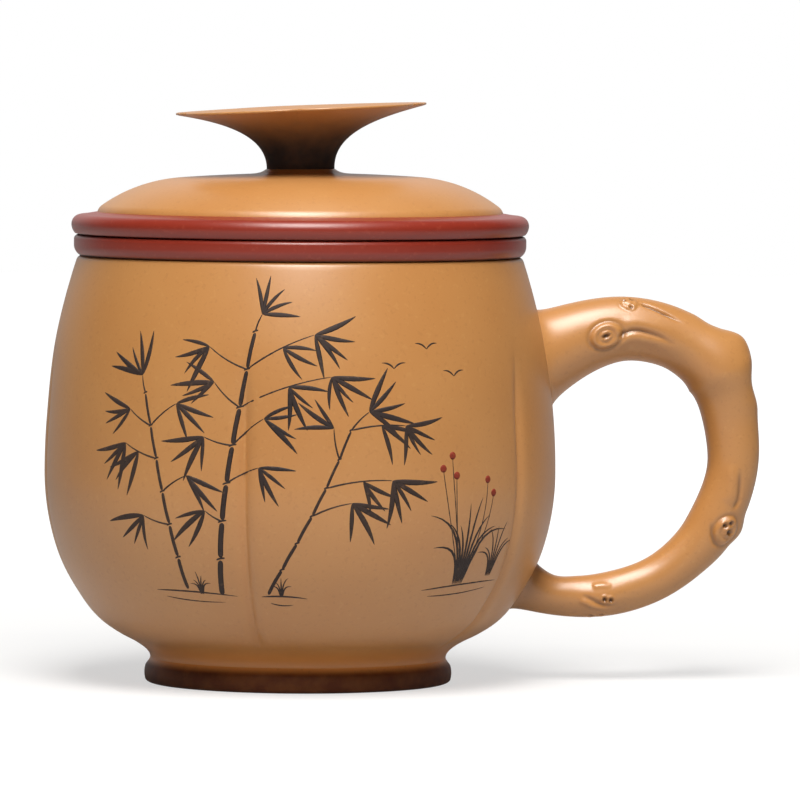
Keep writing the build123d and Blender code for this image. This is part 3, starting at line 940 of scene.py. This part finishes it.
def makeCollar():
    # a plain ring below the band, with its edges eased
    low, high, ease = collarLow[2], collarHigh[2], lidShape["collarTopEase"]
    collar = easedOutline(
        [(collarBore, low), (collarRadius, low), (collarRadius, high), (collarBore, high)],
        (*lidShape["collarFootEases"], ease, ease), closed=True)
    makeTurned(
        "lidCollar", collar, lidShape["columns"], "lid", ochreClay, ("lid_collar",), "ochre_clay")


def domeArcs(edgeRadius, edgeHeight, top):
    # crown arc from the axis, then a shoulder arc that leaves it without a corner
    crownRadius = domeRadius - lidShape["domeShoulder"]
    crownArc = uprightArc(lidShape["domeCrownDrop"], crownRadius)
    lean = math.asin(crownRadius / crownArc)
    upwards = math.pi / 2.0
    heading = (math.cos(lean), -math.sin(lean))
    crown = arcAbout((0.0, top - crownArc), crownArc, upwards, upwards - lean, count=60)
    shoulder = arcAlong(crown[-1], heading, (edgeRadius, edgeHeight), count=40)
    return np.concatenate((crown, shoulder[1:]))


def makeDome():
    # a hollow dome with a rounded edge and a small fillet at the neck, whose crown leans a little
    shape = lidShape
    edge, ease = domeRadius - shape["domeEdgeInset"], shape["domeEdgeRound"]
    crest, sunk = bandTop + shape["domeRise"], bandTop - shape["domeSunk"]
    thickness = shape["domeThickness"]
    outside = domeArcs(edge - ease, bandTop + shape["domeEdge"], crest)
    fromNeck = np.maximum(outside[:, 0] - knobShape["neckRadius"], 0.0)
    outside[:, 1] += shape["neckFillet"] * np.exp(-fromNeck / shape["neckFilletReach"])
    edgeFoot = (edge, bandTop - shape["domeEdgeSunk"])
    rim = arcAlong(outside[-1], outside[-1] - outside[-2], edgeFoot, count=12)
    inside = domeArcs(edge - thickness, sunk, crest - thickness)[::-1]
    outside = outside[outside[:, 0] > shape["domeCentre"]]
    centre = [(0.0, outside[0, 1])]
    profile = np.concatenate((centre, outside, rim[1:], [(edge - ease, sunk)], inside))
    points = turnAbout(profile, evenTurn(shape["columns"]))
    lean = math.tan(math.radians(shape["domeLean"])) * (1.0 - (profile[:, :1] / edge) ** 4)
    points[..., 2] += lean * points[..., 0]
    makePiece("lidDome", points, "lid", ochreClay, ("lid_dome",), "ochre_clay")


def makeKnob():
    # trumpet curve from neck to rim, rounded rim and dished top; radius is drawn in between petals
    # by the cube of the radius, and the whole knob tilts
    shape = knobShape
    foot, radius, neck = knobLow[2], knobHigh[0], shape["neckRadius"]
    guides = np.array([
        (neck, foot),
        (neck, foot + shape["neckHeight"]),
        (shape["flareRadius"], foot + shape["flareHeight"]),
        (radius, foot + shape["rimHeight"]),
    ])
    trumpet = cubicWeights(np.linspace(0.0, 1.0, 48)) @ guides
    rimTop = foot + shape["rimHeight"] + shape["rimThickness"]
    half = shape["rimThickness"] / 2.0
    rimCentre = (radius - half, rimTop - half)
    edge = arcAbout(rimCentre, half, -math.pi / 3.0, math.pi / 2.0, count=9)
    dish = np.linspace(1.0, 0.0, 26)[1:, None]
    hollow = shape["dishDepth"] * (1.0 - dish**2)
    top = np.concatenate(((radius - half) * dish, rimTop - hollow), axis=1)
    base = levelRun(0.0, neck, foot - shape["neckSunk"], count=2)
    profile = np.concatenate((base, trumpet[:-1], edge, top))
    angle = lobeAngles(shape["lobes"], shape["lobeColumns"])
    share = fromCrown(angle, shape["lobes"])
    toNotch = (1.0 - share) * radius * math.pi / shape["lobes"]
    nip = shape["notchNip"] * np.exp(-toNotch / shape["notchNipWidth"])
    notch = shape["notchDepth"] * share**2 + nip
    outwards = (profile[:, :1] / radius) ** 3
    points = turnAbout(profile, angle + math.radians(shape["lobeTurn"]))
    points[..., :2] *= (1.0 - outwards * notch / np.maximum(profile[:, :1], 1.0))[..., None]
    points[..., 2] += points[..., 0] * math.tan(math.radians(shape["tilt"]))
    points[..., 2] -= outwards * shape["droop"] * smoothStep(-points[..., 0] / radius)
    # painted shade on the neck and the underside of the trumpet, darkest at the neck
    rise = (profile[:, 1] - foot) / shape["scorchHeight"]
    below = np.arange(len(profile)) < len(base) + len(trumpet)
    makePiece(
        "lidKnob", points, "lid", ochreClay, ("lid_knob",), "ochre_clay",
        scorch=below * shape["scorch"] * smoothStep(shape["scorchStart"] - rise))


makeBand()
makeCollar()
makeDome()
makeKnob()

# Brushwork on the cup: bamboo, grass and berries in thin raised strokes; places are millimetres
# round the belly from the front towards the handle, and heights

brushShape = {
    "seed": 11, "proud": 0.05, "rows": 13, "columns": 6, "endBluntness": 0.6, "endRise": 0.3,
    # foot, head, half width, joints, sag
    "culms": [
        ((-21.5, 19.6), (-14.0, 70.0), 0.60, 7, 1.0),
        ((-29.0, 20.6), (-37.0, 58.0), 0.42, 6, -1.0),
        ((-11.5, 19.9), (5.0, 51.5), 0.36, 6, -1.2),
    ],
    "culmTaper": 0.4, "culmSag": 0.12, "jointGap": 0.035,
    # half length of the bow at a joint in half widths of the culm, its rise and its sag
    "jointBow": (1.5, 0.2, 0.15),
    # culm, joint, heading, length, leaves at the tip, leaves halfway, droop
    "twigs": [
        (0, 7, 68.0, 3.5, 5, 0, 0.1), (0, 6, 26.0, 15.0, 5, 3, 0.5), (0, 6, 152.0, 9.0, 4, 0, 0.5),
        (0, 5, 18.0, 19.0, 5, 4, 0.6), (0, 5, 138.0, 7.0, 4, 0, 0.4), (0, 4, 165.0, 6.0, 4, 0, 0.6),
        (0, 4, 40.0, 8.0, 4, 0, 0.4), (0, 3, 26.0, 7.0, 4, 0, 0.6), (0, 2, 150.0, 4.0, 3, 0, 0.6),
        (1, 6, 108.0, 3.5, 5, 0, 0.1), (1, 5, 38.0, 7.0, 4, 0, 0.5), (1, 5, 150.0, 6.0, 4, 0, 0.4),
        (1, 4, 160.0, 8.0, 4, 3, 0.6), (1, 3, 32.0, 6.0, 3, 0, 0.6), (1, 2, 165.0, 6.0, 4, 0, 0.6),
        (2, 6, 44.0, 5.0, 5, 0, 0.2), (2, 6, 4.0, 11.0, 5, 3, 0.5), (2, 5, 100.0, 6.0, 3, 0, 0.3),
        (2, 4, 6.0, 13.0, 5, 3, 0.6), (2, 3, 18.0, 8.0, 4, 0, 0.6),
    ],
    "twigSag": 0.06, "halfwayShare": 0.55, "halfwayTurn": 4.0,
    "leafLength": 8.4, "leafWidth": 0.62, "leafSag": 0.5,
    "leafFan": 25.0, "leafScatter": 7.0, "leafGrowth": (0.72, 1.15),
    # foot of the clump, blades, longest blade
    "grass": [
        ((31.0, 21.5), 9, 20.0), ((40.0, 22.8), 7, 12.0),
        ((-26.0, 19.9), 6, 5.5), ((-8.6, 19.7), 5, 4.5),
    ],
    "bladeGrowth": (0.6, 1.0), "bladeLean": 84.0, "bladeDroop": 0.3, "bladeSpread": 0.12,
    # lean of the lower part of a blade, and its share of the length
    "bladeRise": (30.0, 0.7),
    # half width, and what each millimetre of the longest blade adds
    "bladeWidth": (0.14, 0.012),
    "berryStem": (31.0, 22.0),
    "berries": [(24.0, 44.0), (26.2, 46.4), (27.2, 42.6), (35.4, 41.6), (37.2, 39.0)],
    "berryRadius": 0.75, "stemSag": 1.4,
    "birds": [(14.0, 63.0), (21.5, 66.6), (27.5, 61.4)],
    "wing": (2.6, 1.1), "wingSag": 0.55,
    "ground": [
        ((-37.0, 20.4), (-18.0, 19.6)),
        ((-13.0, 19.6), (-3.0, 19.3)),
        ((22.0, 20.6), (44.0, 21.8)),
    ],
    "groundSag": 0.4,
    # shift of both ends of the second ground line
    "groundShift": ((2.0, -1.2), (-3.0, -1.2)),
    # sharpness of the ends and fade along the stroke
    "culmEnds": (14.0, 0.05), "leafEnds": (1.7, 0.45), "bladeEnds": (2.4, 0.5),
    "berryEnds": (2.2, 0.0),
    # half width, sharpness of the ends and fade along the stroke
    "bowBrush": (0.18, 6.0, 0.0), "twigBrush": (0.2, 9.0, 0.5), "stemBrush": (0.15, 9.0, 0.3),
    "wingBrush": (0.22, 2.0, 0.5), "groundBrush": (0.2, 2.4, 0.3), "lowerBrush": (0.15, 2.4, 0.4),
}


def strokePoints(strokes):
    # cubic curves on the rolled-out wall; each section is a flat oval whose half width is one
    # minus a power of the way along, and whose edges are rolled back onto the wall
    curves, widths, sharpness, fade = (np.array(part, float) for part in zip(*strokes))
    widths, sharpness, fade = widths[:, None], sharpness[:, None], fade[:, None]
    share = 0.5 - 0.5 * np.cos(np.linspace(0.0, 1.0, brushShape["rows"]) * math.pi)
    path = cubicWeights(share) @ curves
    across = leftOf(unit(np.gradient(path, axis=1)))
    span = np.maximum(1.0 - np.abs(2.0 * share - 1.0) ** sharpness, 0.0)
    span = widths * span ** brushShape["endBluntness"] * (1.0 - fade * share)
    turn = evenTurn(brushShape["columns"])
    aside = (span[..., None] * np.cos(turn))[..., None]
    flat = path[:, :, None, :] + across[:, :, None, :] * aside
    angle, height = flat[..., 0] / bellyRadius - math.pi / 2.0, flat[..., 1]
    facing = unit(np.stack((np.cos(angle), np.sin(angle), -wallSlope(height)), axis=-1))
    ends = np.minimum(1.0, span / (brushShape["endRise"] * widths))
    proud = brushShape["proud"] * ends[..., None] * np.sin(turn)
    return wallPoint(angle, height) + facing * proud[..., None]


def bent(start, end, sag):
    # a curve from start to end whose middle is pushed sideways by sag
    start, end = np.array(start, float), np.array(end, float)
    step = end - start
    push = sag * leftOf(unit(step))
    return [start, start + step / 3 + push, start + step * 2 / 3 + push, end]


def ahead(start, heading, length):
    # the point that lies length away along a heading in degrees
    turn = math.radians(heading)
    return np.array(start) + length * np.array((math.cos(turn), math.sin(turn)))


def culmStrokes(stops, width):
    # one stroke between each two joints, thinner towards the head, and a short bow at each joint
    bowLength, bowRise, bowSag = brushShape["jointBow"]
    for index, (low, high) in enumerate(zip(stops, stops[1:])):
        thin = width * (1.0 - brushShape["culmTaper"] * index / (len(stops) - 1))
        gap = (high - low) * brushShape["jointGap"]
        bow = np.array((bowLength * thin, bowRise))
        culm = bent(low + gap, high - gap, brushShape["culmSag"])
        yield culm, thin, *brushShape["culmEnds"]
        yield bent(high - bow, high + bow, bowSag), *brushShape["bowBrush"]


def leafStrokes(chance, tip, heading, leaves, droop):
    # leaves fan out about a direction that lies by droop between the twig's heading and down
    scatter, sag = brushShape["leafScatter"], brushShape["leafSag"]
    down = (-90.0 - heading + 180.0) % 360.0 - 180.0
    for leaf in range(leaves):
        fan = brushShape["leafFan"] * (leaf - (leaves - 1) / 2.0)
        aim = heading + droop * down + fan + chance.uniform(-scatter, scatter)
        grown = chance.uniform(*brushShape["leafGrowth"])
        end = ahead(tip, aim, brushShape["leafLength"] * grown)
        curve = bent(tip, end, chance.uniform(-sag, sag))
        yield curve, brushShape["leafWidth"] * grown, *brushShape["leafEnds"]


def grassStrokes(chance, foot, blades, longest):
    # blades lean out evenly from the foot, each bowing over by its lean
    riseLean, riseShare = brushShape["bladeRise"]
    width, growth = brushShape["bladeWidth"]
    for lean in np.linspace(-0.5, 0.5, blades):
        length = longest * chance.uniform(*brushShape["bladeGrowth"])
        drop = brushShape["bladeDroop"] * length * abs(lean)
        tip = ahead(foot, 90.0 - brushShape["bladeLean"] * lean, length) - (0.0, drop)
        rise = ahead(foot, 90.0 - riseLean * lean, riseShare * length)
        start = np.array(foot) + (brushShape["bladeSpread"] * longest * lean, 0.0)
        curve = [start, (start + rise) / 2.0, rise, tip]
        yield curve, width + growth * longest, *brushShape["bladeEnds"]


def makeBrushwork():
    # every stroke is one curve with a half width, a sharpness of its ends and a fade along it
    shape = brushShape
    chance = np.random.default_rng(shape["seed"])
    strokes, joints = [], []
    for foot, head, width, count, sag in shape["culms"]:
        share = np.linspace(0.0, 1.0, count + 1)
        joints.append(cubicWeights(share) @ np.array(bent(foot, head, sag)))
        strokes += culmStrokes(joints[-1], width)
    for culm, joint, heading, length, leaves, halfway, droop in shape["twigs"]:
        start = joints[culm][joint]
        tip = ahead(start, heading, length)
        middle = ahead(start, heading + shape["halfwayTurn"], shape["halfwayShare"] * length)
        strokes.append((bent(start, tip, shape["twigSag"] * length), *shape["twigBrush"]))
        strokes += leafStrokes(chance, tip, heading, leaves, droop)
        strokes += leafStrokes(chance, middle, heading, halfway, droop)
    for clump in shape["grass"]:
        strokes += grassStrokes(chance, *clump)
    stem, sag = shape["berryStem"], shape["stemSag"]
    for berry in shape["berries"]:
        curve = bent(stem, berry, sag if berry[0] < stem[0] else -sag)
        strokes.append((curve, *shape["stemBrush"]))
    across, rise = shape["wing"]
    for bird in shape["birds"]:
        for side in (-1.0, 1.0):
            wing = bent(bird, np.add(bird, (across * side, rise)), shape["wingSag"] * side)
            strokes.append((wing, *shape["wingBrush"]))
    sag = shape["groundSag"]
    for line in shape["ground"]:
        strokes.append((bent(*line, sag), *shape["groundBrush"]))
        strokes.append((bent(*np.add(line, shape["groundShift"]), -sag), *shape["lowerBrush"]))
    makePiece("brushBamboo", strokePoints(strokes), "cup", brushInk)
    radius = shape["berryRadius"]
    dots = []
    for berry in shape["berries"]:
        curve = bent(np.add(berry, (-radius, 0.0)), np.add(berry, (radius, 0.0)), 0.0)
        dots.append((curve, radius, *shape["berryEnds"]))
    makePiece("brushBerries", strokePoints(dots), "cup", berryRed)
    print("brushwork:", len(strokes), "strokes and", len(dots), "berries")


makeBrushwork()

# Stage, lights and camera

stageSetup = {
    "floorRadius": 2500.0, "floorColumns": 96,
    "shadowLight": 0.38, "shadowLift": 0.60, "bounce": 0.50, "ambient": 0.06,
    "mirrorFloor": 0.25, "mirrorSky": 0.85, "mirrorBeyond": 0.4,
    # distances in metres over which the shadow lift ends, the mirrored floor by the object ends
    # and the mirrored floor behind it begins
    "liftEnds": (0.12, 0.7),
    "mirrorEnds": (0.15, 0.6),
    "beyondBegins": (0.5, 1.0),
    # parts of a heading, away and up, over which the mirrored sky sets in
    "skyBehind": (0.55, 0.95),
    "skyRaised": (0.0, 0.35),
    # place, target, width, height, watts, colour
    "lamps": {
        "keyBox": ((-0.05, -0.68, 1.27), (0.0, 0.0, 0.06), 0.60, 1.05, 27.0, (1.0, 0.98, 0.95)),
        "topBox": ((0.10, 0.10, 1.25), (0.0, 0.0, 0.08), 0.60, 0.60, 0.5, (1.0, 1.0, 1.0)),
    },
}
cameraSetup = {
    "azimuth": -6.5, "distance": 1.5, "height": 0.127, "aimHeight": 0.055, "aimAside": 0.0196,
    "lens": 347.0, "roll": 0.35, "clipEnd": 20.0,
}


def greyDiffuse(tree, level):
    # a matt surface of one grey level
    sockets = {"Color": (level, level, level, 1.0)}
    return addNode(tree, "ShaderNodeBsdfDiffuse", sockets).outputs[0]


def showStage(tree, end, mirrored, unseen, shown):
    # camera and clear rays get what is shown, glossy rays the mirrored share of it, and all
    # others what is unseen
    rays = addNode(tree, "ShaderNodeLightPath").outputs
    glossy = reckon(tree, "MULTIPLY", rays["Is Glossy Ray"], mirrored)
    direct = reckon(tree, "MAXIMUM", rays["Is Camera Ray"], rays["Is Transmission Ray"])
    share = reckon(tree, "MAXIMUM", direct, glossy)
    choose = addNode(tree, "ShaderNodeMixShader", {0: share, 1: unseen, 2: shown})
    tree.links.new(choose.outputs[0], tree.nodes[end].inputs["Surface"])


def makeFloor():
    # a flat disc: to the eye it is white with the shadow on it, to bounced light it is grey;
    # its own glow rises from the shadow lift by the object to white far away, and glossy rays
    # find part of it by the object and behind it
    setup = stageSetup
    rings = np.array([(setup["floorRadius"], 0.0), (0.0, 0.0)])
    mesh = meshOf("floor", turnAbout(rings, evenTurn(setup["floorColumns"])))
    material = bpy.data.materials.new("floorWhite")
    material.use_nodes = True
    tree = material.node_tree
    tree.nodes.remove(tree.nodes["Principled BSDF"])
    place = addNode(tree, "ShaderNodeTexCoord").outputs["Object"]
    far = addNode(tree, "ShaderNodeVectorMath", {0: place}, operation="LENGTH").outputs["Value"]
    away = addNode(tree, "ShaderNodeSeparateXYZ", {0: place}).outputs["Y"]
    lift = spread(tree, far, *setup["liftEnds"], setup["shadowLift"], 1.0)
    glow = addNode(tree, "ShaderNodeEmission", {"Strength": lift}).outputs[0]
    sockets = {0: greyDiffuse(tree, setup["shadowLight"]), 1: glow}
    shown = addNode(tree, "ShaderNodeAddShader", sockets).outputs[0]
    near = spread(tree, far, *setup["mirrorEnds"], setup["mirrorFloor"], 0.0)
    beyond = spread(tree, away, *setup["beyondBegins"], 0.0, setup["mirrorBeyond"])
    mirrored = reckon(tree, "MAXIMUM", near, beyond)
    showStage(tree, "Material Output", mirrored, greyDiffuse(tree, setup["bounce"]), shown)
    mesh.materials.append(material)
    floor = bpy.data.objects.new("floor", mesh)
    scene.collection.objects.link(floor)


def makeWorld():
    # white to the eye; in reflections white behind the cup and above the table, and dim elsewhere
    setup = stageSetup
    world = bpy.data.worlds.new("studio")
    scene.world = world
    world.use_nodes = True
    tree = world.node_tree
    white = (1.0, 1.0, 1.0, 1.0)
    fill = tree.nodes["Background"]
    fill.inputs["Color"].default_value = white
    fill.inputs["Strength"].default_value = setup["ambient"]
    shown = addNode(tree, "ShaderNodeBackground", {"Color": white, "Strength": 1.0}).outputs[0]
    place = addNode(tree, "ShaderNodeTexCoord").outputs["Generated"]
    heading = addNode(tree, "ShaderNodeSeparateXYZ", {0: place}).outputs
    behind = spread(tree, heading["Y"], *setup["skyBehind"])
    levels = setup["mirrorBeyond"], setup["mirrorSky"]
    raised = spread(tree, heading["Z"], *setup["skyRaised"], *levels)
    mirrored = reckon(tree, "MULTIPLY", behind, raised)
    showStage(tree, "World Output", mirrored, fill.outputs[0], shown)


def aimAt(thing, place, target, roll=0.0):
    # stands a lamp or camera at a place, looking at a target, rolled about its own view
    view = Vector(target) - Vector(place)
    thing.location = place
    thing.rotation_mode = "QUATERNION"
    twist = Quaternion((0.0, 0.0, 1.0), math.radians(roll))
    thing.rotation_quaternion = view.to_track_quat("-Z", "Y") @ twist


def makeLamps():
    # soft boxes, each a glowing rectangle turned to the cup
    for name, (place, target, width, height, watts, colour) in stageSetup["lamps"].items():
        light = bpy.data.lights.new(name, "AREA")
        light.shape = "RECTANGLE"
        light.size, light.size_y = width, height
        light.energy = watts
        light.color = colour
        lamp = bpy.data.objects.new(name, light)
        scene.collection.objects.link(lamp)
        aimAt(lamp, place, target)


def makeCamera():
    # stands back from the aim point along its azimuth, above the table, and looks at the aim point
    data = bpy.data.cameras.new("camera")
    data.lens = cameraSetup["lens"]
    data.clip_end = cameraSetup["clipEnd"]
    camera = bpy.data.objects.new("camera", data)
    scene.collection.objects.link(camera)
    turn = math.radians(cameraSetup["azimuth"])
    aside = Vector((math.cos(turn), math.sin(turn), 0.0)) * cameraSetup["aimAside"]
    aim = aside + Vector((0.0, 0.0, cameraSetup["aimHeight"]))
    back = Vector((math.sin(turn), -math.cos(turn), 0.0)) * cameraSetup["distance"]
    place = aside + back + Vector((0.0, 0.0, cameraSetup["height"]))
    aimAt(camera, place, aim, cameraSetup["roll"])
    scene.camera = camera


makeFloor()
makeWorld()
makeLamps()
makeCamera()
print("stage: floor, world,", len(stageSetup["lamps"]), "lamps and camera")
